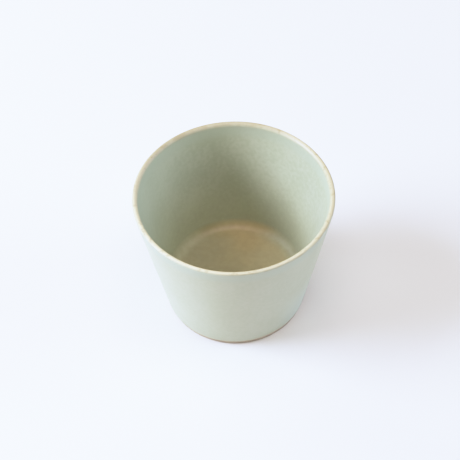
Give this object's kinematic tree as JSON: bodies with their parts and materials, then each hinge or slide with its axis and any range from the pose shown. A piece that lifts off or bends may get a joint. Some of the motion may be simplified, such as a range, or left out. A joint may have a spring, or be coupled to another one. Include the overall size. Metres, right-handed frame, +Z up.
{
  "type": "soba choko cup",
  "caption": "Handleless straight-sided stoneware cup, tapered to a turned foot ring, celadon glazed inside and out with a warm thin lip and an ochre well.",
  "frame": {"origin": "centre of the foot ring's resting face, on the cup's axis", "axes": "+Z up along the axis the cup was turned on; +X and +Y lie in the table, and the picture looks along +Y"},
  "size_m": [0.085, 0.085, 0.065],
  "materials": {
    "bare_clay": "unglazed fired stoneware, dry and fine grained",
    "celadon_glaze": "satin-matt pale green celadon",
    "thin_lip_glaze": "satin glaze run thin, warmed to tan by the clay under it",
    "ochre_well_glaze": "satin-matt glaze pooled and fired to ochre"
  },
  "bodies": {
    "root": {"clay_body": "bare_clay", "outside_glaze": "celadon_glaze", "lip_glaze": "thin_lip_glaze", "inside_glaze": "celadon_glaze", "well_glaze": "ochre_well_glaze"}
  },
  "joints": []
}
